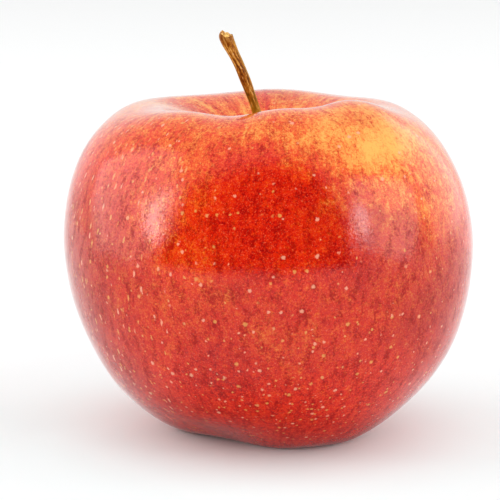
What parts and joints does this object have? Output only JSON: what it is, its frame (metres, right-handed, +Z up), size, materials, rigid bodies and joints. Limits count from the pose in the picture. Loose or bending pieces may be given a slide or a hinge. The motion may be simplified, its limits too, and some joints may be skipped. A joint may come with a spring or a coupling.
{
  "type": "red apple",
  "caption": "Whole fresh apple, red over yellow-orange with pale dots, five-lobed and slightly lopsided, with a leaning woody stem; stands on its own feet.",
  "frame": {"origin": "on the surface that the apple stands on, under the middle of the fruit", "axes": "+Z up, through the stem hollow; -Y is the front, the side seen in the picture; the stem leans towards -X"},
  "size_m": [0.0798, 0.0778, 0.0785],
  "materials": {
    "skin": "gloss",
    "stem": "matte",
    "dry_leaf": "matte",
    "dry_thread": "matte"
  },
  "bodies": {
    "root": {"fruit": "skin", "stem": "stem", "sepal_1": "dry_leaf", "sepal_2": "dry_leaf", "sepal_3": "dry_leaf", "sepal_4": "dry_leaf", "sepal_5": "dry_leaf", "stamen_01": "dry_thread", "stamen_02": "dry_thread", "stamen_03": "dry_thread", "stamen_04": "dry_thread", "stamen_05": "dry_thread", "stamen_06": "dry_thread", "stamen_07": "dry_thread", "stamen_08": "dry_thread", "stamen_09": "dry_thread", "stamen_10": "dry_thread", "style": "dry_thread"}
  },
  "joints": []
}
